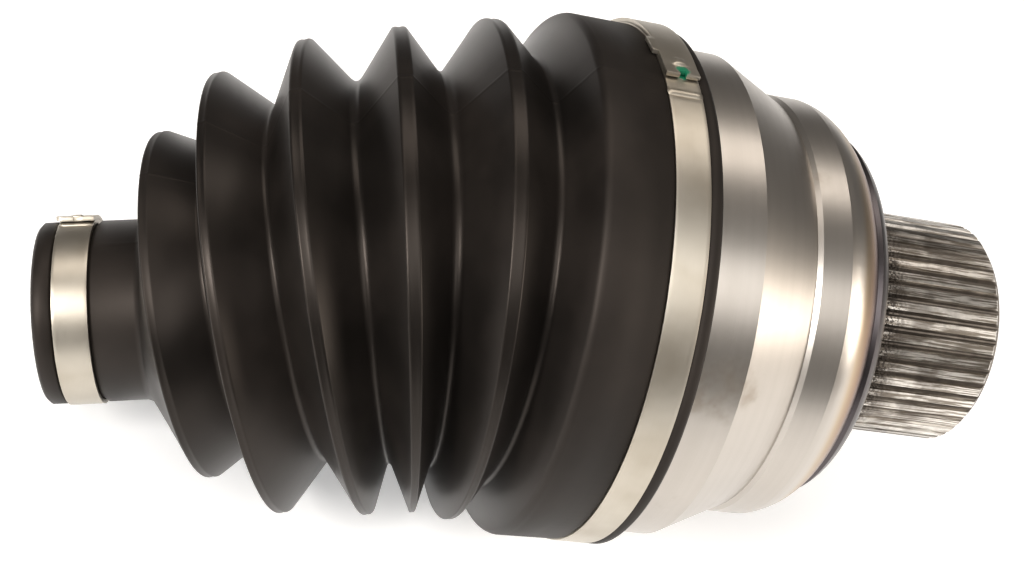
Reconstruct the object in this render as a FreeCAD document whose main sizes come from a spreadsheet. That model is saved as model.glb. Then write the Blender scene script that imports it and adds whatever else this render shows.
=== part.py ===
# Outer end of a drive shaft: ball joint housing with splined stub, cage, balls, bar, boot and clamps.
# Millimetres. X runs along the housing, +X towards the stub; the origin is on the hub shoulder.
import FreeCAD, Part
import math
import os
import re
import Sketcher
from FreeCAD import Placement, Rotation, Vector

doc = FreeCAD.newDocument("drive_shaft")
sizes = doc.addObject("Spreadsheet::Sheet", "Sizes")

# Driving dimensions, one cell each: name, value, what it is
DIMENSIONS = [
    ("rest_angle", 15, "angle of the bar to the housing as it lies, degrees"),
    ("joint_inset", 37, "joint centre behind the hub shoulder"),
    ("ball_radius", 8.73, "six balls"),
    ("pitch_radius", 31.5, "ball centres from the joint centre"),
    ("track_play", 0.08, "track groove over the ball"),
    ("cage_over", 3.25, "cage outer sphere over the ball centres"),
    ("cage_under", 1.75, "cage inner sphere under the ball centres"),
    ("sphere_play", 0.1, "running gap of the spheres"),
    ("cage_rim", 7.12, "cage beside its windows"),
    ("window_room", 1.67, "cage window beyond the ball, round the cage"),
    ("window_play", 0.15, "cage window over the ball, each side"),
    ("window_round", 2.5, "cage window corner radius"),
    ("race_half", 13, "inner race half width"),
    ("mouth_inset", 14, "housing mouth in front of the joint centre"),
    ("mouth_flare", 3, "housing mouth bevel"),
    ("cavity_reach", 29.5, "housing cavity floor behind the joint centre"),
    ("mouth_angle", 50, "track sweep towards the mouth, degrees"),
    ("deep_angle", 41, "track sweep towards the stub, degrees"),
    ("housing_wall", 4.89, "from the bottom of the ball tracks to the boot seat"),
    ("seat_bevel", 1.2, "bevel of the boot seat at the mouth"),
    ("barrel_step", 1.1, "housing barrel over the boot seat"),
    ("barrel_bevel", 0.3, "bevel of the barrel step"),
    ("barrel_end", 31.2, "where the taper starts"),
    ("neck_inset", 5.1, "small end of the taper, under the boot seat"),
    ("neck_place", 18.6, "small end of the taper behind the hub shoulder"),
    ("land_inset", 4.5, "ground land, under the boot seat"),
    ("land_start", 17.8, "land, inner edge"),
    ("land_end", 12.2, "land, outer edge"),
    ("land_round", 11.5, "rounding after the land"),
    ("notch_inset", 9.6, "notch between land and collar, under the boot seat"),
    ("notch_place", 4.4, "notch behind the hub shoulder"),
    ("collar_inset", 9.3, "collar, under the boot seat"),
    ("collar_width", 3.6, "collar"),
    ("collar_round", 5.2, "rounding of the collar"),
    ("face_inset", 14, "outer edge of the hub shoulder face, under the boot seat"),
    ("shoulder_land", 0.7, "edge beside the hub shoulder face"),
    ("spline_radius", 21.75, "stub spline over the teeth"),
    ("spline_root", 20.6, "stub spline root"),
    ("spline_start", 2.4, "end of the relief groove"),
    ("relief_radius", 20.3, "relief groove beside the shoulder"),
    ("stub_length", 30, "stub from the hub shoulder"),
    ("stub_bevel", 1.5, "bevel of the stub end"),
    ("spline_teeth", 46, "stub spline"),
    ("gap_top_share", 0.56, "spline gap at its open side, share of half a pitch"),
    ("gap_base_share", 0.11, "spline gap at its floor, share of half a pitch"),
    ("gap_over", 0.3, "how far the gap's section stands over the teeth"),
    ("gap_runout", 0.6, "spline gaps beyond the start of the stub spline"),
    ("bolt_radius", 7.25, "tapped hole for the hub bolt, tapping size"),
    ("bolt_depth", 25, "full depth of the tapped hole"),
    ("bolt_bevel", 1.2, "countersink of the tapped hole"),
    ("drill_point_share", 0.55, "depth of the drill's point, share of the hole's radius"),
    ("cut_over", 1, "how far a cutting shape stands beyond the piece"),
    ("bar_spline", 14, "bar spline over the teeth"),
    ("bar_root", 13.1, "bar spline root"),
    ("bar_teeth", 30, "bar spline"),
    ("spline_play", 0.05, "race teeth in the gaps of the bar spline"),
    ("bore_bevel", 0.8, "bevel of the inner race's bore"),
    ("bar_tip", 4.2, "bar end beyond the inner race"),
    ("tip_bevel", 1.2, "bevel of the splined bar end"),
    ("bar_runout", 1.2, "bar spline beyond the inner race"),
    ("clip_groove", 1.6, "circlip groove width"),
    ("clip_depth", 1.3, "circlip groove depth"),
    ("clip_play", 0.1, "circlip side play"),
    ("clip_width", 3.0, "circlip section, radial"),
    ("clip_lift", 0.05, "circlip over the floor of its groove"),
    ("clip_gap", 9, "opening of the circlip"),
    ("washer_play", 0.2, "dished washer and thrust ring over the bar spline"),
    ("washer_wall", 4.2, "dished washer and thrust ring, from bore to rim"),
    ("thrust_width", 1.8, "thrust ring"),
    ("thrust_bevel", 0.5, "bevel of the thrust ring"),
    ("washer_width", 1.2, "dished washer, thickness"),
    ("washer_dish", 0.9, "dished washer, height of the dish"),
    ("bar_shoulder", 2.4, "bar shoulder over the splines"),
    ("shoulder_width", 4.2, "bar shoulder"),
    ("neck_drop", 5, "length of the slope from the shoulder to the neck"),
    ("bar_neck", 12.5, "bar neck in the housing mouth"),
    ("neck_end", 50, "end of the neck from the joint centre"),
    ("bar_body", 14.1, "bar"),
    ("body_start", 60, "start of the full bar from the joint centre"),
    ("cuff_seat", 13.6, "bar under the boot cuff"),
    ("seat_lead", 0.8, "seat of the bar beyond the inner end of the cuff"),
    ("seat_slope", 0.6, "slope from the bar to its seat"),
    ("bar_bevel", 0.9, "bevel of the bar end"),
    ("centre_hole", 2.6, "centre hole radius of the bar end"),
    ("centre_depth", 5, "centre hole depth"),
    ("centre_floor", 1.3, "centre hole radius at its floor"),
    ("boot_wall", 1.8, "boot wall"),
    ("boot_fit", 0.05, "boot on the housing seat"),
    ("cuff_play", 0.25, "boot cuff on the bar"),
    ("lip_start", 3.2, "edge of the boot lip from the joint centre"),
    ("lip_gap", 0.6, "boot lip to the barrel step"),
    ("lip_height", 3.9, "boot lip over the housing seat"),
    ("lip_width", 2.2, "boot lip"),
    ("lip_bevel", 0.6, "bevel of the boot lip, and of the boot's bore at the housing mouth"),
    ("groove_lean", 0.01, "lean of the clamp grooves' side walls"),
    ("band_height", 3.1, "boot under the large clamp, over the housing seat"),
    ("band_width", 6.2, "large clamp"),
    ("band_sheet", 0.8, "clamp sheet thickness"),
    ("band_play", 0.2, "side play of each clamp in its groove"),
    ("flank_height", 3.7, "boot beside the large clamp, over the housing seat"),
    ("mouth_lead", 0.5, "from the housing mouth to where the boot starts to bend"),
    ("drift_end_share", 1.028, "where the boot's centre line meets the bar's axis, share of the cuff start"),
    ("lean_share", 1.56, "how far the middle folds lean, share of the bar's angle"),
    ("lean_start_share", 0.263, "where the folds start to lean, share of the cuff start"),
    ("lean_end_share", 0.679, "where the folds lean most, share of the cuff start"),
    ("lean_back_share", 0.931, "where the folds turn back to the bar's angle, share of the cuff start"),
    ("cuff_start", 91.3, "start of the small cuff"),
    ("cuff_wall", 3.05, "small cuff"),
    ("cuff_body", 9, "small cuff before the clamp"),
    ("clip_inset", 0.7, "clamp groove of the small cuff"),
    ("cuff_foot", 0.5, "rounding at the foot of the small cuff, radial"),
    ("foot_length", 1.2, "rounding at the foot of the small cuff, lengthwise"),
    ("groove_slope", 0.8, "slope into the clamp groove of the small cuff"),
    ("rim_bevel", 0.5, "bevel of the small cuff's rim"),
    ("small_width", 6.2, "small clamp"),
    ("small_play", 0.2, "small clamp over the cuff"),
    ("rim_width", 3.5, "rim of the small cuff"),
    ("lock_angle", 46, "overlap of a clamp, degrees"),
    ("lock_end_angle", 82, "where the overlap of the large clamp ends, degrees from +Y"),
    ("small_end_angle", 60, "where the overlap of the small clamp ends, degrees from +Y"),
    ("hook_height", 0.7, "clamp hook over the overlap"),
    ("hook_width", 2.2, "clamp hook across the band"),
    ("hook_angle", 3, "clamp hook along the band, degrees"),
    ("hook_back_angle", 4.8, "from the end of the overlap to the far side of the first hook, degrees"),
    ("hook_pitch_angle", 15, "from one hook to the next, degrees"),
    ("bead_height", 0.35, "pressed bead before the overlap"),
    ("bead_angle", 1.2, "pressed bead along the band, degrees"),
    ("bead_inset", 0.5, "from the edge of the band to the end of the bead"),
    ("bead_start_angle", 5, "from the end of the overlap to the bead, degrees"),
]

# Crests and valleys of the boot: distance as a share of the cuff start, radius as a share of the boot seat,
# rounding
FOLDS = [
    ("swell", 0.263, 1.084, 3),
    ("valley_5", 0.308, 0.873, 1),
    ("crest_5", 0.374, 1.087, 2.2),
    ("valley_4", 0.437, 0.771, 1),
    ("crest_4", 0.494, 1.069, 2),
    ("valley_3", 0.554, 0.755, 1),
    ("crest_3", 0.623, 1.039, 2),
    ("valley_2", 0.691, 0.723, 1),
    ("crest_2", 0.791, 0.967, 2),
    ("valley_1", 0.825, 0.620, 1),
    ("crest_1", 0.921, 0.739, 2),
]

# Values that follow from the driving dimensions
FOLLOWS = {
    "joint_x": "-joint_inset",
    "cage_outer": "pitch_radius + cage_over",
    "cage_inner": "pitch_radius - cage_under",
    "cage_half": "ball_radius + window_play + cage_rim",
    "window_half": "ball_radius + window_room",
    "housing_sphere": "cage_outer + sphere_play",
    "race_sphere": "cage_inner - sphere_play",
    "track_radius": "ball_radius + track_play",
    "seat_radius": "pitch_radius + track_radius + housing_wall",
    "barrel_radius": "seat_radius + barrel_step",
    "barrel_start": "joint_inset + lip_start - lip_gap",
    "neck_radius": "seat_radius - neck_inset",
    "land_radius": "seat_radius - land_inset",
    "notch_radius": "seat_radius - notch_inset",
    "collar_radius": "seat_radius - collar_inset",
    "shoulder_radius": "seat_radius - face_inset",
    "mouth_x": "joint_x - mouth_inset",
    "mouth_throat": "mouth_inset - mouth_flare",
    "throat_radius": "sqrt(housing_sphere * housing_sphere - mouth_throat * mouth_throat)",
    "floor_radius": "sqrt(housing_sphere * housing_sphere - cavity_reach * cavity_reach)",
    "cage_edge_outer": "sqrt(cage_outer * cage_outer - cage_half * cage_half)",
    "cage_edge_inner": "sqrt(cage_inner * cage_inner - cage_half * cage_half)",
    "race_edge": "sqrt(race_sphere * race_sphere - race_half * race_half)",
    "race_bore": "bar_spline + spline_play",
    "clip_place": "race_half + clip_play",
    "washer_bore": "bar_spline + washer_play",
    "washer_radius": "washer_bore + washer_wall",
    "washer_stack": "thrust_width + washer_width + washer_dish",
    "shoulder_place": "race_half + washer_stack",
    "neck_start": "shoulder_place + shoulder_width + neck_drop",
    "lip_radius": "seat_radius + lip_height",
    "band_seat": "seat_radius + band_height",
    "flank_radius": "seat_radius + flank_height",
    "band_start": "lip_start + lip_width",
    "band_end": "band_start + band_width + 2 * band_play",
    "clip_start": "cuff_start + cuff_body",
    "rim_start": "clip_start + small_width + 2 * band_play",
    "cuff_end": "rim_start + rim_width",
    "cuff_bore": "cuff_seat + cuff_play",
    "cuff_radius": "cuff_bore + cuff_wall",
    "clip_seat": "cuff_radius - clip_inset",
    "small_inner": "clip_seat + small_play",
    "seat_start": "cuff_start - seat_lead",
    "bar_length": "cuff_end",
}


def fill_sheet():
    """Write every driving dimension into its own cell."""
    rows = list(DIMENSIONS)
    for name, place, radius, rounding in FOLDS:
        rows.append((name + "_place_share", place, "boot fold, of the cuff start"))
        rows.append((name + "_radius_share", radius, "boot fold, of the boot seat"))
        rows.append((name + "_round", rounding, "boot fold rounding"))
    for row, (name, value, note) in enumerate(rows, start=1):
        sizes.set("A%d" % row, name)
        sizes.set("B%d" % row, str(value))
        sizes.set("C%d" % row, note)
        sizes.setAlias("B%d" % row, name)
    doc.recompute()
    return {name for name, value, note in rows}


NAMES = fill_sheet()


def bound(text):
    """Turn a formula in plain size names into one that reads the sheet."""
    def swap(match):
        word = match.group(0)
        if word in FOLLOWS:
            return "(" + bound(FOLLOWS[word]) + ")"
        return "Sizes." + word if word in NAMES else word
    return re.sub(r"[a-z][a-z_0-9]*", swap, text)


def number(text):
    """The value of a formula in millimetres or degrees."""
    value = sizes.evalExpression(bound(text))
    return float(getattr(value, "Value", value))


def new_body(name):
    body = doc.addObject("PartDesign::Body", name)
    body.Label = name
    return body


def origin_part(body, role):
    return next(item for item in body.Origin.OriginFeatures if item.Role == role)


def new_sketch(body, name, role, lift="0", tilt="0"):
    sketch = body.newObject("Sketcher::SketchObject", name)
    sketch.AttachmentSupport = (origin_part(body, role), [""])
    sketch.MapMode = "FlatFace"
    sketch.AttachmentOffset = Placement(Vector(), Rotation(Vector(1, 0, 0), number(tilt)))
    sketch.setExpression("AttachmentOffset.Base.z", bound(lift))
    return sketch


def fix_point(sketch, index, end, x_text, y_text):
    """Tie one point of a sketch to its two distances from the sketch's origin."""
    for kind, axis, text in (("DistanceX", -2, x_text), ("DistanceY", -1, y_text)):
        if text == "0":
            sketch.addConstraint(Sketcher.Constraint("PointOnObject", index, end, axis))
            continue
        row = sketch.addConstraint(Sketcher.Constraint(kind, -1, 1, index, end, number(text)))
        sketch.setExpression("Constraints[%d]" % row, bound(text))


def arc_between(start, finish, radius, side):
    """The arc from start to finish; side is 1 with its centre to the left, -1 to the right."""
    half = (finish - start) * 0.5
    left = Vector(-half.y, half.x, 0).normalize()
    rise = math.sqrt(max(radius * radius - half.Length ** 2, 0))
    centre = start + half + left * (rise * side)
    first, last = (start, finish) if side > 0 else (finish, start)
    angle_a = math.atan2(first.y - centre.y, first.x - centre.x)
    angle_b = math.atan2(last.y - centre.y, last.x - centre.x)
    return Part.ArcOfCircle(Part.Circle(centre, Vector(0, 0, 1), radius), angle_a, angle_b)


def outline(body, name, role, corners, arcs=None, lift="0", tilt="0"):
    """A closed sketch through the corners; arcs maps a corner to the radius and side of its arc."""
    arcs = arcs or {}
    sketch = new_sketch(body, name, role, lift, tilt)
    points = [Vector(number(x), number(y), 0) for x, y in corners]
    count = len(points)
    ends = []
    for index, start in enumerate(points):
        finish = points[(index + 1) % count]
        if index in arcs:
            radius_text, side = arcs[index]
            sketch.addGeometry(arc_between(start, finish, number(radius_text), side), False)
            ends.append((1, 2) if side > 0 else (2, 1))
        else:
            sketch.addGeometry(Part.LineSegment(start, finish), False)
            ends.append((1, 2))
    for index in range(count):
        after = (index + 1) % count
        joined = ("Coincident", index, ends[index][1], after, ends[after][0])
        sketch.addConstraint(Sketcher.Constraint(*joined))
    for index, (x_text, y_text) in enumerate(corners):
        fix_point(sketch, index, ends[index][0], x_text, y_text)
    for index, (radius_text, side) in arcs.items():
        row = sketch.addConstraint(Sketcher.Constraint("Radius", index, number(radius_text)))
        sketch.setExpression("Constraints[%d]" % row, bound(radius_text))
    return sketch


def ring_section(body, name, role, x_text, y_text, radius_text, lift="0"):
    """A sketch of one circle."""
    sketch = new_sketch(body, name, role, lift)
    centre = Vector(number(x_text), number(y_text), 0)
    sketch.addGeometry(Part.Circle(centre, Vector(0, 0, 1), number(radius_text)), False)
    fix_point(sketch, 0, 3, x_text, y_text)
    row = sketch.addConstraint(Sketcher.Constraint("Radius", 0, number(radius_text)))
    sketch.setExpression("Constraints[%d]" % row, bound(radius_text))
    return sketch


def turned(body, kind, sketch, axis="H_Axis", angle="360", back=None):
    """A Revolution or Groove of a sketch about one of its own axes."""
    feature = body.newObject("PartDesign::" + kind, sketch.Name + "_" + kind.lower())
    feature.Profile = sketch
    feature.ReferenceAxis = (sketch, [axis])
    feature.setExpression("Angle", bound(angle))
    if back:
        feature.Type = "TwoAngles"
        feature.setExpression("Angle2", bound(back))
    body.Tip = feature
    return feature


def pocket(body, sketch, length, reverse=False):
    feature = body.newObject("PartDesign::Pocket", sketch.Name + "_pocket")
    feature.Profile = sketch
    feature.Type = "Length"
    feature.Reversed = reverse
    feature.setExpression("Length", bound(length))
    body.Tip = feature
    return feature


def round_array(body, feature, count):
    """Repeat a feature evenly about the body's X axis."""
    array = body.newObject("PartDesign::PolarPattern", feature.Name + "_array")
    array.Originals = [feature]
    array.Axis = (origin_part(body, "X_Axis"), [""])
    array.Angle = 360
    array.setExpression("Occurrences", bound(count))
    body.Tip = array
    return array


def bend_placement(share):
    """Carry a piece drawn about the joint centre to its place, bent by a share of the rest angle."""
    turn = Rotation(Vector(0, -1, 0), number("rest_angle") * share)
    return Placement(Vector(number("joint_x"), 0, 0), turn)


def ball_track(body, name, x_text, angle, back):
    """Cut the six ball tracks: one round groove bent about the joint centre, repeated."""
    section = ring_section(body, name, "YZ_Plane", "pitch_radius", "0", "track_radius", x_text)
    groove = turned(body, "Groove", section, "V_Axis", angle, back)
    doc.recompute()
    round_array(body, groove, "6")


def tooth_gap(body, name, outer, root, teeth, lift, rise="0"):
    """The section of one spline gap, wider at its open side; rise moves it outwards as a tooth."""
    pitch = "360 / (%s) / 2" % teeth
    top = "(%s) * sin(%s) * gap_top_share" % (outer, pitch)
    base = "(%s) * sin(%s) * gap_base_share" % (root, pitch)
    low = "%s + %s" % (root, rise)
    far = "%s + gap_over + %s" % (outer, rise)
    corners = [("-" + base, low), (base, low), (top, far), ("-" + top, far)]
    return outline(body, name, "YZ_Plane", corners, lift=lift)


def make_outer_race():
    """Housing and splined stub, forged and ground in one piece."""
    body = new_body("outer_race")
    seat_end = "-(barrel_start)"
    profile = [
        ("mouth_x", "0"),
        ("mouth_x", "seat_radius - seat_bevel"),
        ("mouth_x + seat_bevel", "seat_radius"),
        (seat_end, "seat_radius"),
        (seat_end, "barrel_radius - barrel_bevel"),
        (seat_end + " + barrel_bevel", "barrel_radius"),
        ("-barrel_end", "barrel_radius"),
        ("-neck_place", "neck_radius"),
        ("-land_start", "land_radius"),
        ("-land_end", "land_radius"),
        ("-notch_place", "notch_radius"),
        ("-collar_width", "collar_radius"),
        ("-shoulder_land", "shoulder_radius"),
        ("0", "shoulder_radius"),
        ("0", "relief_radius"),
        ("spline_start", "relief_radius"),
        ("spline_start + spline_radius - relief_radius", "spline_radius"),
        ("stub_length - stub_bevel", "spline_radius"),
        ("stub_length", "spline_radius - stub_bevel"),
        ("stub_length", "bolt_radius + bolt_bevel"),
        ("stub_length - bolt_bevel", "bolt_radius"),
        ("stub_length - bolt_depth", "bolt_radius"),
        ("stub_length - bolt_depth - bolt_radius * drill_point_share", "0"),
    ]
    arcs = {9: ("land_round", -1), 11: ("collar_round", -1)}
    turned(body, "Revolution", outline(body, "housing_outline", "XY_Plane", profile, arcs))

    cavity = [
        ("mouth_x - cut_over", "0"),
        ("mouth_x - cut_over", "throat_radius + mouth_flare + cut_over"),
        ("joint_x - mouth_throat", "throat_radius"),
        ("joint_x + cavity_reach", "floor_radius"),
        ("joint_x + cavity_reach", "0"),
    ]
    turned(body, "Groove", outline(body, "cavity_outline", "XY_Plane", cavity, {2: ("housing_sphere", -1)}))
    ball_track(body, "housing_track", "joint_x", "mouth_angle", "deep_angle")

    gap = tooth_gap(body, "stub_gap", "spline_radius", "spline_root", "spline_teeth", "stub_length")
    cut = pocket(body, gap, "stub_length - spline_start + gap_runout")
    doc.recompute()
    round_array(body, cut, "spline_teeth")
    return body


def make_inner_race():
    """Star-shaped inner race on the bar's spline."""
    body = new_body("inner_race")
    profile = [
        ("-race_half", "race_bore + bore_bevel"),
        ("-race_half", "race_edge"),
        ("race_half", "race_edge"),
        ("race_half", "race_bore + bore_bevel"),
        ("race_half - bore_bevel", "race_bore"),
        ("bore_bevel - race_half", "race_bore"),
    ]
    turned(body, "Revolution", outline(body, "race_outline", "XY_Plane", profile, {1: ("race_sphere", -1)}))
    ball_track(body, "race_track", "0", "90", "90")

    tooth = tooth_gap(body, "race_tooth", "bar_spline", "bar_root", "bar_teeth",
                      "bore_bevel - race_half", "2 * spline_play")
    pad = body.newObject("PartDesign::Pad", "race_tooth_pad")
    pad.Profile = tooth
    pad.setExpression("Length", bound("2 * (race_half - bore_bevel)"))
    body.Tip = pad
    doc.recompute()
    round_array(body, pad, "bar_teeth")
    body.Placement = bend_placement(1)
    return body


def make_cage():
    """Cage that holds the six balls in the plane half way between housing and bar."""
    body = new_body("ball_cage")
    profile = [
        ("-cage_half", "cage_edge_inner"),
        ("-cage_half", "cage_edge_outer"),
        ("cage_half", "cage_edge_outer"),
        ("cage_half", "cage_edge_inner"),
    ]
    arcs = {1: ("cage_outer", -1), 3: ("cage_inner", 1)}
    turned(body, "Revolution", outline(body, "cage_outline", "XY_Plane", profile, arcs))

    long_side = "window_half - window_round"
    short_side = "ball_radius + window_play - window_round"
    wide = "ball_radius + window_play"
    corners = [
        ("-(%s)" % short_side, "-window_half"),
        (short_side, "-window_half"),
        (wide, "-(%s)" % long_side),
        (wide, long_side),
        (short_side, "window_half"),
        ("-(%s)" % short_side, "window_half"),
        ("-(%s)" % wide, long_side),
        ("-(%s)" % wide, "-(%s)" % long_side),
    ]
    rounds = {index: ("window_round", 1) for index in (1, 3, 5, 7)}
    window = outline(body, "cage_window", "XZ_Plane", corners, rounds)
    cut = pocket(body, window, "cage_outer + cut_over")
    doc.recompute()
    round_array(body, cut, "6")
    body.Placement = bend_placement(0.5)
    return body


def make_balls():
    """Six balls, each where its housing track crosses the plane half way between the two shafts."""
    balls = []
    half_bend = math.tan(math.radians(number("rest_angle") / 2))
    for index in range(6):
        around = math.radians(60 * index)
        tilt = math.atan(math.sin(around) * half_bend)
        reach = number("pitch_radius")
        ball = doc.addObject("Part::Sphere", "ball_%d" % (index + 1))
        ball.Label = "ball_%d" % (index + 1)
        ball.setExpression("Radius", bound("ball_radius"))
        out = reach * math.cos(tilt)
        along = number("joint_x") - reach * math.sin(tilt)
        centre = Vector(along, out * math.cos(around), out * math.sin(around))
        ball.Placement = Placement(centre, Rotation())
        balls.append(ball)
    return balls


def make_bar():
    """The shaft bar: splined end, circlip groove, shoulder, neck, body and the seat of the small cuff."""
    body = new_body("shaft_bar")
    tip = "race_half + bar_tip"
    groove_in = "clip_place"
    groove_out = "clip_place + clip_groove"
    floor = "bar_spline - clip_depth"
    profile = [
        (tip, "0"),
        (tip, "bar_spline - tip_bevel"),
        (tip + " - tip_bevel", "bar_spline"),
        (groove_out, "bar_spline"),
        (groove_out, floor),
        (groove_in, floor),
        (groove_in, "bar_spline"),
        ("-shoulder_place", "bar_spline"),
        ("-shoulder_place", "bar_spline + bar_shoulder"),
        ("-(shoulder_place + shoulder_width)", "bar_spline + bar_shoulder"),
        ("-neck_start", "bar_neck"),
        ("-neck_end", "bar_neck"),
        ("-body_start", "bar_body"),
        ("-seat_start", "bar_body"),
        ("-(seat_start + seat_slope)", "cuff_seat"),
        ("-(bar_length - bar_bevel)", "cuff_seat"),
        ("-bar_length", "cuff_seat - bar_bevel"),
        ("-bar_length", "centre_hole"),
        ("-(bar_length - centre_depth)", "centre_floor"),
        ("-(bar_length - centre_depth)", "0"),
    ]
    turned(body, "Revolution", outline(body, "bar_outline", "XY_Plane", profile))

    lift = tip + " + cut_over"
    gap = tooth_gap(body, "bar_gap", "bar_spline", "bar_root", "bar_teeth", lift)
    cut = pocket(body, gap, lift + " + race_half + bar_runout")
    doc.recompute()
    round_array(body, cut, "bar_teeth")
    body.Placement = bend_placement(1)
    return body


def make_circlip():
    """Open retaining ring in the bar's groove, behind the inner race."""
    inner = number("bar_spline - clip_depth")
    ring = doc.addObject("Part::Cylinder", "clip_blank")
    ring.setExpression("Radius", bound("bar_spline - clip_depth + clip_lift + clip_width"))
    ring.setExpression("Height", bound("clip_groove - 2 * clip_play"))
    bore = doc.addObject("Part::Cylinder", "clip_bore")
    bore.setExpression("Radius", bound("bar_spline - clip_depth + clip_lift"))
    bore.setExpression("Height", bound("clip_groove"))
    gap = doc.addObject("Part::Box", "clip_opening")
    gap.setExpression("Length", bound("clip_gap"))
    gap.setExpression("Width", bound("2 * bar_spline"))
    gap.setExpression("Height", bound("clip_groove"))
    gap.Placement = Placement(Vector(-number("clip_gap") / 2, inner * 0.5, 0), Rotation())
    annulus = doc.addObject("Part::Cut", "clip_annulus")
    annulus.Base = ring
    annulus.Tool = bore
    clip = doc.addObject("Part::Cut", "circlip")
    clip.Label = "circlip"
    clip.Base = annulus
    clip.Tool = gap
    along = Placement(Vector(number("clip_place + clip_play"), 0, 0), Rotation(Vector(0, 1, 0), 90))
    clip.Placement = bend_placement(1).multiply(along)
    return clip


def make_washers():
    """Thrust ring against the inner race and dished washer against the bar's shoulder."""
    thrust = new_body("thrust_ring")
    face = "-race_half"
    back = "-(race_half + thrust_width)"
    corners = [
        (face, "washer_bore"),
        (face, "washer_radius - thrust_bevel"),
        (face + " - thrust_bevel", "washer_radius"),
        (back, "washer_radius"),
        (back, "washer_bore"),
    ]
    turned(thrust, "Revolution", outline(thrust, "thrust_outline", "XY_Plane", corners))
    dished = new_body("dished_washer")
    inner = "-shoulder_place"
    corners = [
        (inner + " + washer_width", "washer_bore"),
        (back, "washer_radius"),
        (back + " - washer_width", "washer_radius"),
        (inner, "washer_bore"),
    ]
    turned(dished, "Revolution", outline(dished, "dish_outline", "XY_Plane", corners))
    for body in (thrust, dished):
        body.Placement = bend_placement(1)
    return [thrust, dished]


def eased(value, low, high):
    """0 up to low, 1 from high on, and smooth between them."""
    share = min(max((value - low) / (high - low), 0), 1)
    return share * share * (3 - 2 * share)


def boot_station(distance):
    """Centre and direction of one ring of the boot; its middle folds lean further than the bar."""
    cuff = number("cuff_start")
    bend = math.radians(number("rest_angle"))
    lean = number("lean_share")
    drift = eased(distance, number("mouth_inset + mouth_lead"), cuff * number("drift_end_share"))
    leaning = eased(distance, cuff * number("lean_start_share"), cuff * number("lean_end_share"))
    righted = eased(distance, cuff * number("lean_back_share"), cuff)
    along_housing = Vector(-1, 0, 0)
    along_bar = Vector(-math.cos(bend), 0, -math.sin(bend))
    point = Vector(number("joint_x"), 0, 0) + (along_housing * (1 - drift) + along_bar * drift) * distance
    angle = bend * (lean * leaning - (lean - 1) * righted)
    return point, Vector(-math.cos(angle), 0, -math.sin(angle))


def boot_ring(distance, radius):
    """One circle of the boot, starting on the side of the hinge axis."""
    point, direction = boot_station(distance)
    across = Vector(0, 1, 0)
    turn = Rotation(across, direction.cross(across), direction, "ZXY")
    circle = Part.Wire([Part.Circle(Vector(0, 0, 0), Vector(0, 0, 1), radius).toShape()])
    circle.Placement = Placement(point, turn)
    return circle


def fold_arc(before, corner, after, rounding, steps):
    """Points of the arc that rounds one corner of a zigzag, with its centre and the wall's side."""
    into = (corner - before).normalize()
    out = (after - corner).normalize()
    turn = math.atan2(into.x * out.y - into.y * out.x, into.dot(out))
    side = 1 if turn > 0 else -1
    normal = Vector(-into.y, into.x, 0) * side
    centre = corner - into * (rounding * math.tan(abs(turn) / 2)) + normal * rounding
    spokes = []
    for step in range(steps + 1):
        angle = turn * step / steps
        spoke = normal * -1
        spokes.append(Vector(
            spoke.x * math.cos(angle) - spoke.y * math.sin(angle),
            spoke.x * math.sin(angle) + spoke.y * math.cos(angle), 0))
    return centre, spokes, side


def fold_points():
    """Outer and inner points of all folds, from the shoulder to the last crest."""
    corners = [Vector(number("band_end"), number("flank_radius"), 0)]
    for name, place, radius, rounding in FOLDS:
        reach = number("cuff_start * %s_place_share" % name)
        corners.append(Vector(reach, number("seat_radius * %s_radius_share" % name), 0))
    corners.append(Vector(number("cuff_start"), number("cuff_radius"), 0))
    outer = []
    inner = []
    wall = number("boot_wall")
    for index in range(1, len(corners) - 1):
        name = FOLDS[index - 1][0]
        crest = not name.startswith("valley")
        rounding = number(name + "_round")
        centre, spokes, side = fold_arc(*corners[index - 1:index + 2], rounding, 3 if crest else 2)
        inward = rounding - wall if crest else rounding + wall
        for spoke in spokes:
            outer.append(centre + spoke * rounding)
            inner.append(centre + spoke * inward)
    return outer, inner


def boot_lists():
    """The boot's outer and inner outline as points of distance and radius."""
    outer_folds, inner_folds = fold_points()
    outer = [
        ("lip_start", "lip_radius - lip_bevel"),
        ("lip_start + lip_bevel", "lip_radius"),
        ("band_start - groove_lean", "lip_radius"),
        ("band_start", "band_seat"),
        ("band_end", "band_seat"),
        ("band_end + groove_lean", "flank_radius"),
    ]
    outer = [Vector(number(x), number(y), 0) for x, y in outer] + outer_folds
    tail = [
        ("cuff_start", "cuff_radius + cuff_foot"),
        ("cuff_start + foot_length", "cuff_radius"),
        ("clip_start - groove_slope", "cuff_radius"),
        ("clip_start", "clip_seat"),
        ("rim_start", "clip_seat"),
        ("rim_start + groove_lean", "cuff_radius - rim_bevel"),
        ("rim_start + rim_bevel", "cuff_radius"),
        ("cuff_end - rim_bevel", "cuff_radius"),
        ("cuff_end", "cuff_radius - rim_bevel"),
    ]
    outer = outer + [Vector(number(x), number(y), 0) for x, y in tail]
    inner = [
        ("lip_start - cut_over", "seat_radius + boot_fit"),
        ("mouth_inset", "seat_radius + boot_fit"),
        ("mouth_inset + lip_bevel", "seat_radius + boot_fit + lip_bevel"),
    ]
    inner = [Vector(number(x), number(y), 0) for x, y in inner] + inner_folds
    inner_tail = [("cuff_start + cuff_foot", "cuff_bore"), ("cuff_end + cut_over", "cuff_bore")]
    return outer, inner + [Vector(number(x), number(y), 0) for x, y in inner_tail]


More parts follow.
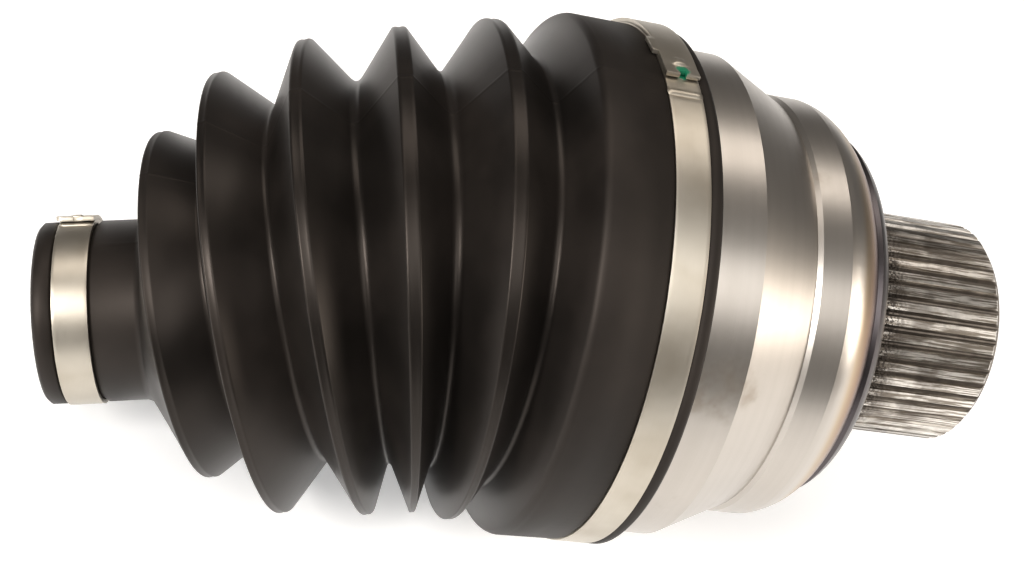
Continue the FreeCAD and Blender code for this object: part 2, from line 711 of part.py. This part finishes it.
def make_boot():
    """Bellows between housing and bar, bent as it lies: rings along a curved centre line."""
    outer, inner = boot_lists()
    skin = Part.makeLoft([boot_ring(point.x, point.y) for point in outer], True, True)
    hollow = Part.makeLoft([boot_ring(point.x, point.y) for point in inner], True, True)
    boot = doc.addObject("Part::Feature", "boot")
    boot.Label = "boot"
    boot.Shape = skin.cut(hollow)
    return boot


def make_clamp(name, inner, width, middle, turn_text, share):
    """A sheet band whose outer end overlaps it, with two hooks and a bead beside the lock."""
    body = new_body(name)
    sheet = "(%s) + band_sheet" % inner
    lap = "(%s) + 2 * band_sheet" % inner

    def arched(kind, start, sweep, low_radius, high_radius, across):
        low = "%s - (%s) / 2" % (middle, across)
        high = "%s + (%s) / 2" % (middle, across)
        corners = [(low, low_radius), (high, low_radius), (high, high_radius), (low, high_radius)]
        section = outline(body, "%s_%s" % (name, kind), "XY_Plane", corners, tilt=start)
        turned(body, "Revolution", section, angle=sweep)

    arched("band", "0", "360", inner, sheet, width)
    arched("lap", "-lock_angle", "lock_angle", sheet, lap, width)
    for index, back in enumerate(("0", "hook_pitch_angle"), start=1):
        start = "-(hook_back_angle + %s)" % back
        arched("hook_%d" % index, start, "hook_angle", lap + " - band_sheet / 2", lap + " + hook_height",
               "hook_width")
    arched("bead", "bead_start_angle", "bead_angle", sheet + " - band_sheet / 2", sheet + " + bead_height",
           width + " - 2 * bead_inset")
    turn = Placement(Vector(), Rotation(Vector(1, 0, 0), number(turn_text)))
    body.Placement = bend_placement(share).multiply(turn)
    return body


def check_all():
    """Stop if any object failed, whatever recompute says."""
    for item in doc.Objects:
        bad = [state for state in item.State if state in ("Invalid", "Error")]
        if bad:
            raise RuntimeError("%s is %s" % (item.Label, bad))


def export(pieces):
    os.makedirs("parts", exist_ok=True)
    for piece in pieces:
        shape = piece.Shape
        if shape.isNull() or not shape.isValid():
            raise RuntimeError("%s has no valid shape" % piece.Label)
        shape.exportStep("parts/%s.step" % piece.Label)
        print("%-16s solids %d volume %.1f" % (piece.Label, len(shape.Solids), shape.Volume))


pieces = [make_outer_race(), make_inner_race(), make_cage()]
pieces += make_balls()
pieces += [make_bar(), make_circlip()]
pieces += make_washers()
pieces.append(make_boot())
large_middle = "-(band_start + band_end) / 2"
pieces.append(make_clamp("large_clamp", "band_seat", "band_width", large_middle, "lock_end_angle", 0))
small_middle = "-(clip_start + rim_start) / 2"
pieces.append(make_clamp("small_clamp", "small_inner", "small_width", small_middle, "small_end_angle", 1))
doc.recompute()
check_all()
export(pieces)
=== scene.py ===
import math

import bmesh
import bpy
from mathutils import Euler, Matrix, Vector


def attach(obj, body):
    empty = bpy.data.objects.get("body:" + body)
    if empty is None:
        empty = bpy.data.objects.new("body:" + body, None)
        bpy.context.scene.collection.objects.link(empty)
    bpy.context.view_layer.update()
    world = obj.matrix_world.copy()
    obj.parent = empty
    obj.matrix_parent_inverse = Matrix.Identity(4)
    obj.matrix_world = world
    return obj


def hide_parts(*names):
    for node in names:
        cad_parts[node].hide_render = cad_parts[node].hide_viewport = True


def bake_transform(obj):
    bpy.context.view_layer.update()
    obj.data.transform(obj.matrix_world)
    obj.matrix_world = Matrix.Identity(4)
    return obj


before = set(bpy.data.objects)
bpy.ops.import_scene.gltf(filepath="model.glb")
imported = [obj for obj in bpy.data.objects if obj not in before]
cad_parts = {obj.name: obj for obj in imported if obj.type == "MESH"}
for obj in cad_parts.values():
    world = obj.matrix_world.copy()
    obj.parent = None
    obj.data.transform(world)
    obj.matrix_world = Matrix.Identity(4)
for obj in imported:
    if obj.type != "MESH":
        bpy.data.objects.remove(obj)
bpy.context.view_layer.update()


# a number or colour on its way through a material; sums on it write the Math nodes
class Flow:
    def __init__(self, paint, socket):
        self.paint = paint
        self.socket = socket

    def maths(self, operation, first, second=0.0):
        return self.paint.node("ShaderNodeMath", {"operation": operation}, {0: first, 1: second})

    def __add__(self, other):
        return self.maths("ADD", self, other)

    def __radd__(self, other):
        return self.maths("ADD", other, self)

    def __rsub__(self, other):
        return self.maths("SUBTRACT", other, self)

    def __mul__(self, other):
        return self.maths("MULTIPLY", self, other)

    def __rmul__(self, other):
        return self.maths("MULTIPLY", other, self)

    def above(self, edge, soft):
        return self.paint.node("ShaderNodeMapRange", {"interpolation_type": "SMOOTHSTEP"},
                               {"Value": self, "From Min": edge - soft, "From Max": edge + soft})

    def below(self, edge, soft):
        return 1 - self.above(edge, soft)


class Paint:
    def __init__(self, name):
        self.material = bpy.data.materials.new(name)
        self.material.use_nodes = True
        self.nodes = self.material.node_tree.nodes
        self.links = self.material.node_tree.links
        self.nodes.clear()
        self.place = self.node("ShaderNodeTexCoord", out="Object")

    # any node: its settings first, then the values or links of its sockets
    def node(self, kind, settings=None, sockets=None, out=0):
        made = self.nodes.new(kind)
        for name, value in (settings or {}).items():
            if name == "stops":
                ramp = made.color_ramp
                ramp.elements.remove(ramp.elements[1])
                ramp.elements[0].position = value[0][0]
                ramp.elements[0].color = value[0][1] + (1,)
                for place, colour in value[1:]:
                    ramp.elements.new(place).color = colour + (1,)
            else:
                setattr(made, name, value)
        for name, value in (sockets or {}).items():
            if isinstance(value, Flow):
                self.links.new(value.socket, made.inputs[name])
            else:
                made.inputs[name].default_value = value
        return Flow(self, made.outputs[out])

    def axis(self, name):
        return self.node("ShaderNodeSeparateXYZ", None, {0: self.place}, out=name)

    def stretched(self, x, y, z):
        return self.node("ShaderNodeMapping", None, {"Vector": self.place, "Scale": (x, y, z)})

    def noise(self, scale, detail=3.0, rough=0.5, where=None):
        sockets = {"Vector": where or self.place, "Scale": scale, "Detail": detail, "Roughness": rough}
        return self.node("ShaderNodeTexNoise", None, sockets)

    # noise that changes only along the axis and the radius, as tool marks on a turned part do
    def turned(self, along, radius, scale, detail, rough):
        where = self.node("ShaderNodeCombineXYZ", None, {"X": along, "Y": radius})
        return self.node("ShaderNodeTexNoise", {"noise_dimensions": "2D"},
                         {"Vector": where, "Scale": scale, "Detail": detail, "Roughness": rough})

    def mix(self, factor, first, second):
        return self.node("ShaderNodeMix", {"data_type": "RGBA"}, {0: factor, 6: first, 7: second}, out=2)

    def bump(self, height, distance, strength):
        sockets = {"Height": height, "Distance": distance, "Strength": strength}
        return self.node("ShaderNodeBump", None, sockets)

    # distance from the stub's axis, and from any point
    def fromAxis(self):
        sockets = {0: self.place, 1: (0, 1, 1)}
        flat = self.node("ShaderNodeVectorMath", {"operation": "MULTIPLY"}, sockets)
        return self.node("ShaderNodeVectorMath", {"operation": "LENGTH"}, {0: flat}, out="Value")

    def fromPoint(self, point):
        sockets = {0: self.place, 1: point}
        return self.node("ShaderNodeVectorMath", {"operation": "DISTANCE"}, sockets, out="Value")

    def surface(self, **sockets):
        named = {name.replace("_", " "): value for name, value in sockets.items()}
        shader = self.node("ShaderNodeBsdfPrincipled", None, named)
        end = self.nodes.new("ShaderNodeOutputMaterial")
        self.links.new(shader.socket, end.inputs["Surface"])
        return self.material


# places in the looks are distances along the stub's axis, in metres
rubberLook = {
    "deep": (0.0048, 0.0041, 0.0036, 1), "dusty": (0.0160, 0.0130, 0.0112, 1), "clouds": 34, "grain": 2600,
    "smears": (220, 26, 26), "rough": 0.27, "cloudRough": 0.10, "smearRough": 0.07, "dustRough": 0.24,
    "shoulder": -0.0605, "cuff": -0.127, "cuffDust": 0.6, "shine": 0.28, "shineTint": (1, 0.86, 0.76, 1),
    "grainHeight": 0.35, "smearHeight": 0.5, "relief": 0.00005, "strength": 0.35,
}


def rubber():
    look = rubberLook
    paint = Paint("bootRubber")
    cloud = paint.noise(look["clouds"], 4.0, 0.55)
    grain = paint.noise(look["grain"], 2.0, 0.5)
    smear = paint.noise(1, 3.0, 0.6, paint.stretched(*look["smears"]))
    # dust dulls the plain shoulder beside the large clamp, and the cuff
    along = paint.axis("X")
    dust = along.above(look["shoulder"], 0.002) + along.below(look["cuff"], 0.003) * look["cuffDust"]
    colour = paint.mix(cloud.above(0.55, 0.2), look["deep"], look["dusty"])
    rough = look["rough"] + cloud * look["cloudRough"] + smear * look["smearRough"]
    rough = rough + dust * look["dustRough"]
    height = grain * look["grainHeight"] + smear * look["smearHeight"]
    return paint.surface(Base_Color=colour, Roughness=rough, Specular_IOR_Level=look["shine"],
                         Specular_Tint=look["shineTint"],
                         Normal=paint.bump(height, look["relief"], look["strength"]))


steelLook = {
    "bright": (0.505, 0.472, 0.435, 1), "dull": (0.34, 0.31, 0.272, 1), "stain": (0.24, 0.19, 0.135, 1),
    "gapShadeDark": (0.09, 0.078, 0.068, 1), "gapShadeLight": (0.30, 0.265, 0.23, 1), "tooth": (0.82, 0.78, 0.72, 1),
    "toothDull": (0.26, 0.228, 0.19, 1), "worn": (0.10, 0.082, 0.066, 1),
    "runout": (0.045, 0.038, 0.033, 1),
    "marks": 9000, "zones": 420, "blotches": 60, "stains": 38, "scratches": (110, 2500, 2500),
    "tintAndShadeSpan": (-0.0105, 0.001), "tintAndShadeFrom": -0.0100, "stubFrom": 0.0008, "gapRadius": 0.02125,
    "gapFrom": 0.0012, "wornSpan": (0.005, 0.022), "runoutSpan": (0.001, 0.0085),
    "rough": 0.24, "marksRough": 0.12, "blotchRough": 0.06, "gapRough": 0.25, "runoutRough": 0.2,
    "stainRough": 0.08, "relief": 0.00002, "strength": 0.35,
}
# heat tint from the clean collar towards its rim; the dark end at the rim and the dark shoulder face are
# painted shade
heatTintAndShadeStops = [
    (0.0, (0.50, 0.475, 0.445)), (0.07, (0.49, 0.45, 0.40)), (0.17, (0.43, 0.345, 0.25)),
    (0.30, (0.30, 0.20, 0.13)), (0.40, (0.165, 0.105, 0.09)), (0.54, (0.088, 0.078, 0.082)),
    (0.90, (0.11, 0.10, 0.092)), (0.93, (0.30, 0.28, 0.255)),
]


def turnedSteel():
    look = steelLook
    paint = Paint("turnedSteel")
    along = paint.axis("X")
    radius = paint.fromAxis()
    marks = paint.turned(along, radius, look["marks"], 3.0, 0.6)
    zones = paint.turned(along, radius, look["zones"], 2.0, 0.5)
    blotch = paint.noise(look["blotches"], 4.0, 0.6)
    # the heat tint, ending in painted shade that darkens the collar's rim and the shoulder face
    low, high = look["tintAndShadeSpan"]
    tintAndShade = paint.node("ShaderNodeMapRange", None, {"Value": along, "From Min": low, "From Max": high})
    tintAndShade = paint.node("ShaderNodeValToRGB", {"stops": heatTintAndShadeStops}, {0: tintAndShade})
    body = paint.mix(zones * 0.35 + blotch * 0.3, look["bright"], look["dull"])
    stain = paint.noise(look["stains"], 5.0, 0.65).above(0.66, 0.07)
    body = paint.mix(stain * 0.55, body, look["stain"])
    body = paint.mix(along.above(look["tintAndShadeFrom"], 0.002), body, tintAndShade)
    # the stub: bright tooth lands, tooth gaps darkened as painted shade, a worn stretch, and the rough
    # speckled runout of the cutter
    gap = radius.below(look["gapRadius"], 0.0002) * along.above(look["gapFrom"], 0.0004)
    # painted shade: the tooth gaps darker than the lands
    gapShade = paint.mix(paint.noise(500, 3.0), look["gapShadeDark"], look["gapShadeLight"])
    scratch = paint.noise(1, 3.0, 0.6, paint.stretched(*look["scratches"]))
    teeth = paint.mix(scratch.above(0.50, 0.06), look["tooth"], look["toothDull"])
    low, high = look["wornSpan"]
    worn = paint.noise(130, 4.0, 0.6).above(0.5, 0.12) * along.above(low, 0.003) * along.below(high, 0.005)
    teeth = paint.mix(worn * 0.7, teeth, look["worn"])
    low, high = look["runoutSpan"]
    speckle = paint.noise(2100, 2.0, 0.6).above(0.5, 0.07)
    speckle = speckle * along.below(high, 0.003) * along.above(low, 0.0004)
    stub = paint.mix(speckle, paint.mix(gap, teeth, gapShade), look["runout"])
    colour = paint.mix(along.above(look["stubFrom"], 0.0003), body, stub)
    rough = look["rough"] + marks * look["marksRough"] + blotch * look["blotchRough"]
    rough = rough + gap * look["gapRough"] + speckle * look["runoutRough"] + stain * look["stainRough"]
    return paint.surface(Base_Color=colour, Metallic=1.0, Roughness=rough,
                         Normal=paint.bump(marks, look["relief"], look["strength"]))


bandLook = {
    "bright": (0.50, 0.462, 0.395, 1), "dull": (0.415, 0.372, 0.305, 1), "grain": (5200, 90, 90),
    "patches": 90, "rough": 0.33, "grainRough": 0.14, "relief": 0.00002, "strength": 0.25,
}


def bandSteel():
    look = bandLook
    paint = Paint("bandSteel")
    grain = paint.noise(1, 3.0, 0.6, paint.stretched(*look["grain"]))
    patch = paint.noise(look["patches"], 3.0, 0.5)
    colour = paint.mix(patch.above(0.55, 0.2), look["bright"], look["dull"])
    # a dab of paint on the lock
    spot = bandPoint(wideBand, lockDab["angle"], lockDab["across"], lockDab["over"])
    reach = paint.fromPoint(spot) + paint.noise(lockDab["edgeScale"], 2.0) * lockDab["edge"]
    dab = reach.below(lockDab["size"], 0.0003)
    colour = paint.mix(dab, colour, lockDab["colour"])
    rough = look["rough"] + grain * look["grainRough"]
    return paint.surface(Base_Color=colour, Metallic=1 - 0.8 * dab, Roughness=rough,
                         Normal=paint.bump(grain, look["relief"], look["strength"]))


# inner pieces with one even finish: two tones, metallic, roughness and the scale of the clouding
plainLooks = [
    {"name": "groundSteel", "nodes": ["inner_race"], "tones": ((0.55, 0.54, 0.53, 1), (0.46, 0.45, 0.44, 1)),
     "metallic": 1, "rough": 0.22, "clouds": 120},
    {"name": "cageSteel", "nodes": ["ball_cage"], "tones": ((0.22, 0.22, 0.23, 1), (0.15, 0.15, 0.16, 1)),
     "metallic": 1, "rough": 0.32, "clouds": 150},
    {"name": "ballSteel", "nodes": ["ball_%d" % number for number in range(1, 7)],
     "tones": ((0.78, 0.78, 0.78, 1), (0.72, 0.72, 0.73, 1)), "metallic": 1, "rough": 0.06, "clouds": 200},
    {"name": "barPaint", "nodes": ["shaft_bar"],
     "tones": ((0.018, 0.018, 0.019, 1), (0.035, 0.033, 0.031, 1)), "metallic": 0, "rough": 0.38,
     "clouds": 90},
    {"name": "springSteel", "nodes": ["circlip", "dished_washer"],
     "tones": ((0.12, 0.12, 0.125, 1), (0.2, 0.19, 0.185, 1)), "metallic": 1, "rough": 0.35, "clouds": 300},
    {"name": "thrustPolymer", "nodes": ["thrust_ring"], "tones": ((0.55, 0.5, 0.4, 1), (0.48, 0.43, 0.34, 1)),
     "metallic": 0, "rough": 0.45, "clouds": 250},
]


def plainFinish(look):
    paint = Paint(look["name"])
    cloud = paint.noise(look["clouds"], 4.0, 0.55)
    colour = paint.mix(cloud.above(0.5, 0.25), *look["tones"])
    rough = look["rough"] + cloud * 0.12
    return paint.surface(Base_Color=colour, Metallic=look["metallic"], Roughness=rough,
                         Normal=paint.bump(paint.noise(3000, 2.0), 0.00002, 0.3))


# the boot in metres: distances from the joint centre, each with its radius, and for a fold its rounding
boot = {
    "centre": Vector((-0.037, 0, 0)), "bend": math.radians(15), "cuffStart": 0.0913, "steps": 192,
    "drift": (0.0145, 0.0939), "lean": 1.56, "leaning": (0.0240, 0.0620), "righting": (0.0850, 0.0913),
    "crestWall": 0.0020, "valleyWall": 0.0029,
    "crestFlat": 0.0007, "crestDip": 0.00016,
    "seam": {"azimuth": math.radians(87), "height": 0.00008, "half": 0.0003, "reach": (0.0126, 0.0990)},
    "lip": [(0.0032, 0.0485), (0.0038, 0.0491), (0.00539, 0.0491), (0.0054, 0.0483), (0.012, 0.0483),
            (0.01201, 0.0489)],
    "folds": [(0.0236, 0.0491, 0.0017), (0.0281, 0.0397, 0.0008), (0.0342, 0.0466, 0.0005),
              (0.0399, 0.0356, 0.0008), (0.0451, 0.0449, 0.0005), (0.0506, 0.0347, 0.0008),
              (0.0569, 0.0443, 0.0005), (0.0631, 0.0328, 0.0008), (0.0722, 0.0413, 0.0005),
              (0.0753, 0.0280, 0.0008), (0.0841, 0.0326, 0.0005)],
    "cuff": [(0.0913, 0.0174), (0.0925, 0.0169), (0.0995, 0.0169), (0.1003, 0.0162), (0.1069, 0.0162),
             (0.10691, 0.0164), (0.1074, 0.0169), (0.1098, 0.0169), (0.1104, 0.0163)],
    "bore": 0.01385, "boreFrom": 0.0920, "end": 0.1104,
    "seat": [(0.0148, 0.04585), (0.0140, 0.04525), (0.0032, 0.04525)],
    "blendFrom": (-0.053, 0, 0),
}


# 0 up to low, 1 from high on, smooth between
def eased(value, low, high):
    share = min(max((value - low) / (high - low), 0), 1)
    return share * share * (3 - 2 * share)


# where a ring of the boot sits and which way it faces; the middle folds lean further than the bar
def bootStation(distance):
    bend = boot["bend"]
    drift = eased(distance, *boot["drift"])
    fromHousing = Vector((-1, 0, 0))
    toBar = Vector((-math.cos(bend), 0, -math.sin(bend)))
    point = boot["centre"] + (fromHousing * (1 - drift) + toBar * drift) * distance
    angle = bend * (boot["lean"] * eased(distance, *boot["leaning"])
                    - (boot["lean"] - 1) * eased(distance, *boot["righting"]))
    return point, Vector((-math.cos(angle), 0, -math.sin(angle)))


def roundCorner(bm, vert, rounding, segments):
    arms = [edge.other_vert(vert).co - vert.co for edge in vert.link_edges]
    turn = math.pi - arms[0].angle(arms[1])
    reach = min(rounding * math.tan(turn / 2), 0.45 * min(arm.length for arm in arms))
    bmesh.ops.bevel(bm, geom=[vert], offset=reach, segments=segments, affect="VERTICES", profile=0.5,
                    material=-1)


def profileLoop(bm, points):
    verts = [bm.verts.new((x, y, 0)) for x, y in points]
    for first, second in zip(verts, verts[1:] + verts[:1]):
        bm.edges.new((first, second))
    return verts


def finishMesh(bm, name, material):
    mesh = bpy.data.meshes.new(name)
    bmesh.ops.recalc_face_normals(bm, faces=bm.faces[:])
    bm.to_mesh(mesh)
    bm.free()
    for face in mesh.polygons:
        face.use_smooth = True
    piece = bpy.data.objects.new(name, mesh)
    bpy.context.collection.objects.link(piece)
    mesh.materials.append(material)
    return piece


def makeBoot():
    bm = bmesh.new()
    outer = list(boot["lip"])
    rounds = {}
    for index, (place, radius, rounding) in enumerate(boot["folds"]):
        crest = index % 2 == 0
        if crest and index > 0:
            for side in (-1, 0, 1):
                if side:
                    rounds[len(outer)] = (rounding, 4)
                outer.append((place + side * boot["crestFlat"], radius - (0 if side else boot["crestDip"])))
        else:
            rounds[len(outer)] = (rounding, 8 if crest else 3)
            outer.append((place, radius))
    outer += boot["cuff"]
    inner = [(boot["end"], boot["bore"]), (boot["boreFrom"], boot["bore"])]
    for index, (place, radius, rounding) in reversed(list(enumerate(boot["folds"]))):
        inner.append((place, radius - boot["crestWall" if index % 2 == 0 else "valleyWall"]))
    inner += boot["seat"]
    verts = profileLoop(bm, outer + inner)
    for index, (rounding, segments) in rounds.items():
        roundCorner(bm, verts[index], rounding, segments)
    bmesh.ops.spin(bm, geom=bm.verts[:] + bm.edges[:], cent=(0, 0, 0), axis=(1, 0, 0), angle=math.tau,
                   steps=boot["steps"], use_merge=True)
    bmesh.ops.remove_doubles(bm, verts=bm.verts[:], dist=0.000001)
    across = Vector((0, 1, 0))
    seam = boot["seam"]
    step = math.tau / boot["steps"]
    for vert in bm.verts:
        # the mould's parting seam, a fine ridge on two opposite sides
        radius, angle = math.hypot(vert.co.y, vert.co.z), math.atan2(vert.co.z, vert.co.y)
        beside = (angle + math.pi / 2) % math.pi - math.pi / 2
        if seam["reach"][0] < vert.co.x < seam["reach"][1]:
            line = round(beside / step)
            if line == 0:
                radius += seam["height"]
            elif abs(line) < 3:
                angle += line * seam["half"] / radius - beside
        angle += seam["azimuth"]
        point, direction = bootStation(vert.co.x)
        upward = across.cross(direction)
        vert.co = point + across * radius * math.cos(angle) + upward * radius * math.sin(angle)
    piece = finishMesh(bm, "bellowsBoot", rubber())
    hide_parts("boot")
    cuffPoint, barLine = bootStation(boot["cuffStart"])
    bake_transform(piece)
    print("boot", len(piece.data.polygons), "faces")
    return piece


# flat strip patterns, then rolled: angles in degrees from +Y towards +Z, lengths in metres
wideBand = {
    "name": "wideBand", "node": "large_clamp", "body": "housing", "inner": 0.0483, "width": 0.0062,
    "middle": 0.0087, "tail": 87, "overlap": 46, "sheet": 0.0008, "bend": 0.0, "cells": 300,
}
narrowBand = {
    "name": "narrowBand", "node": "small_clamp", "body": "shaft", "inner": 0.0164, "width": 0.0062,
    "middle": 0.1036, "tail": 60, "overlap": 46, "sheet": 0.0008, "bend": math.radians(15), "cells": 180,
}
lockDab = {
    "angle": 404.4, "across": 0.0002, "over": 0.0014, "size": 0.0024, "edge": 0.0022, "edgeScale": 700,
    "colour": (0.008, 0.17, 0.085, 1),
}


# a point on a rolled band: degrees and metres along and across the flat strip
def bandPoint(band, angle, across, over):
    radius = band["inner"] + over
    turned = math.radians(angle + band["tail"] - band["overlap"])
    flat = Vector((-band["middle"] + across, radius * math.cos(turned), radius * math.sin(turned)))
    return Matrix.Rotation(band["bend"], 4, Vector((0, -1, 0))) @ flat + boot["centre"]


# the lock of a band: degrees back from the end of its outer layer, heights in metres, shares of the width
lock = {
    "lines": (0.7, 1.4, 3, 3.6, 3.9, 4.6, 5.4, 5.7, 6.3, 8, 8.4, 14.6, 15),
    "notch": 1.4, "notchShare": 0.1,
    "hook": 4.6, "hookReach": 0.9, "hookShare": 0.17, "hookHeight": 0.0004,
    "climbFrom": 352, "climb": 7, "climbShare": 1.06, "lift": 0.0003, "liftRun": 3,
    "bead": 4.4, "beadLines": (-0.7, -0.4, 0.4, 0.7), "beadReach": 0.5, "beadShare": 0.45,
    "beadHeight": 0.0003,
    "tab": 0.001, "tabEnds": (8.2, 14.8), "tabShare": 0.49, "edge": 0.00014,
}


def makeBand(band, material):
    bm = bmesh.new()
    length = 360 + band["overlap"]
    bmesh.ops.create_grid(bm, x_segments=band["cells"], y_segments=10, size=0.5)
    bmesh.ops.scale(bm, vec=(length, band["width"], 1), verts=bm.verts[:])
    bmesh.ops.translate(bm, vec=(length / 2, 0, 0), verts=bm.verts[:])
    # closer lines at the lock, for its notch, hook, side tab and bead
    fine = [length - step for step in lock["lines"]]
    fine += [band["overlap"] + lock["bead"] + step for step in lock["beadLines"]]
    for place in fine:
        bmesh.ops.bisect_plane(bm, geom=bm.verts[:] + bm.edges[:] + bm.faces[:], plane_co=(place, 0, 0),
                               plane_no=(1, 0, 0), dist=0.00001)
    notch = [face for face in bm.faces if face.calc_center_median().x > length - lock["notch"]
             and abs(face.calc_center_median().y) < band["width"] * lock["notchShare"]]
    bmesh.ops.delete(bm, geom=notch, context="FACES")
    for vert in bm.verts:
        angle, across = vert.co.x, vert.co.y
        side = abs(across) / band["width"]
        back = length - angle
        # the outer layer climbs over the inner one, and its end stands a little proud
        climbed = min(max((angle - lock["climbFrom"]) / lock["climb"], 0), 1)
        rise = band["sheet"] * lock["climbShare"] * climbed
        rise += lock["lift"] * min(max(1 - back / lock["liftRun"], 0), 1)
        if side < lock["hookShare"] and abs(back - lock["hook"]) < lock["hookReach"]:
            rise += lock["hookHeight"]
        if side < lock["beadShare"] and abs(angle - band["overlap"] - lock["bead"]) < lock["beadReach"]:
            rise += lock["beadHeight"]
        if across < 0 and side > lock["tabShare"] and lock["tabEnds"][0] < back < lock["tabEnds"][1]:
            across -= lock["tab"]
        vert.co = bandPoint(band, angle, across, band["sheet"] / 2 + rise)
    piece = finishMesh(bm, band["name"], material)
    skin = piece.modifiers.new("sheet", "SOLIDIFY")
    skin.thickness = band["sheet"]
    skin.offset = 0
    edges = piece.modifiers.new("edges", "BEVEL")
    edges.width = lock["edge"]
    edges.segments = 2
    edges.limit_method = "ANGLE"
    edges.angle_limit = math.radians(50)
    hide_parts(band["node"])
    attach(piece, band["body"])
    print(band["name"], len(piece.data.polygons), "faces")
    return piece


# a CAD node that keeps its shape and gets a finish
def dress(node, material):
    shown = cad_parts[node]
    shown.data.materials.clear()
    shown.data.materials.append(material)


camera = {"place": (-0.1461, -0.2141, 0.2141), "turn": (44.26, -16.75, -5.27), "lens": 58.8, "sensor": 36}
studio = {
    "floor": -0.0524, "half": 3, "pale": ((0.86, 0.86, 0.86, 1), (0.9, 0.9, 0.9, 1)), "rough": 0.6,
    "glow": 0.45, "air": (0.95, 0.9, 0.86, 1), "airLight": 0.13,
}
lamps = [
    {"name": "frontPanel", "place": (-0.15, -0.62, 0.86), "aim": (-0.05, 0, 0), "size": (1.3, 0.5),
     "power": 7.0, "colour": (1, 0.975, 0.95)},
    {"name": "leftPanel", "place": (-0.85, -0.45, 0.5), "aim": (-0.06, 0, 0), "size": (0.1, 0.4),
     "power": 8, "colour": (1, 0.97, 0.94)},
    {"name": "topPanel", "place": (-0.1, 0.3, 0.8), "aim": (-0.05, 0, 0), "size": (1.2, 0.3),
     "power": 3.5, "colour": (1, 0.93, 0.86)},
    {"name": "stubPanel", "place": (0.74, -0.3, 0.31), "aim": (0, 0, 0), "size": (0.3, 0.45),
     "power": 3.6, "colour": (1, 0.92, 0.83)},
]


def makeCamera():
    eye = bpy.data.objects.new("camera", bpy.data.cameras.new("camera"))
    eye.location = camera["place"]
    eye.rotation_euler = Euler([math.radians(angle) for angle in camera["turn"]])
    eye.data.lens = camera["lens"]
    eye.data.sensor_width = camera["sensor"]
    eye.data.clip_start = 0.01
    bpy.context.collection.objects.link(eye)
    bpy.context.scene.camera = eye


def makeStudio():
    bm = bmesh.new()
    bmesh.ops.create_grid(bm, x_segments=2, y_segments=2, size=studio["half"])
    bmesh.ops.translate(bm, vec=(0, 0, studio["floor"]), verts=bm.verts[:])
    paint = Paint("studioFloor")
    pale = paint.mix(paint.noise(3), *studio["pale"])
    finish = paint.surface(Base_Color=pale, Roughness=studio["rough"], Emission_Color=pale,
                           Emission_Strength=studio["glow"])
    floor = finishMesh(bm, "studioFloor", finish)
    for lamp in lamps:
        light = bpy.data.lights.new(lamp["name"], "AREA")
        light.shape = "RECTANGLE"
        light.size, light.size_y = lamp["size"]
        light.energy = lamp["power"]
        light.color = lamp["colour"]
        panel = bpy.data.objects.new(lamp["name"], light)
        panel.location = lamp["place"]
        line = Vector(lamp["aim"]) - Vector(lamp["place"])
        panel.rotation_euler = line.to_track_quat("-Z", "Y").to_euler()
        bpy.context.collection.objects.link(panel)
    world = bpy.data.worlds.new("studio")
    bpy.context.scene.world = world
    world.use_nodes = True
    background = world.node_tree.nodes["Background"]
    background.inputs["Color"].default_value = studio["air"]
    background.inputs["Strength"].default_value = studio["airLight"]
    bpy.context.scene.view_settings.view_transform = "Standard"


makeCamera()
makeStudio()
print("camera and studio ready")
makeBoot()
bandFinish = bandSteel()
makeBand(wideBand, bandFinish)
makeBand(narrowBand, bandFinish)

dress("outer_race", turnedSteel())
for look in plainLooks:
    finish = plainFinish(look)
    for node in look["nodes"]:
        dress(node, finish)
print("finishes on every piece")
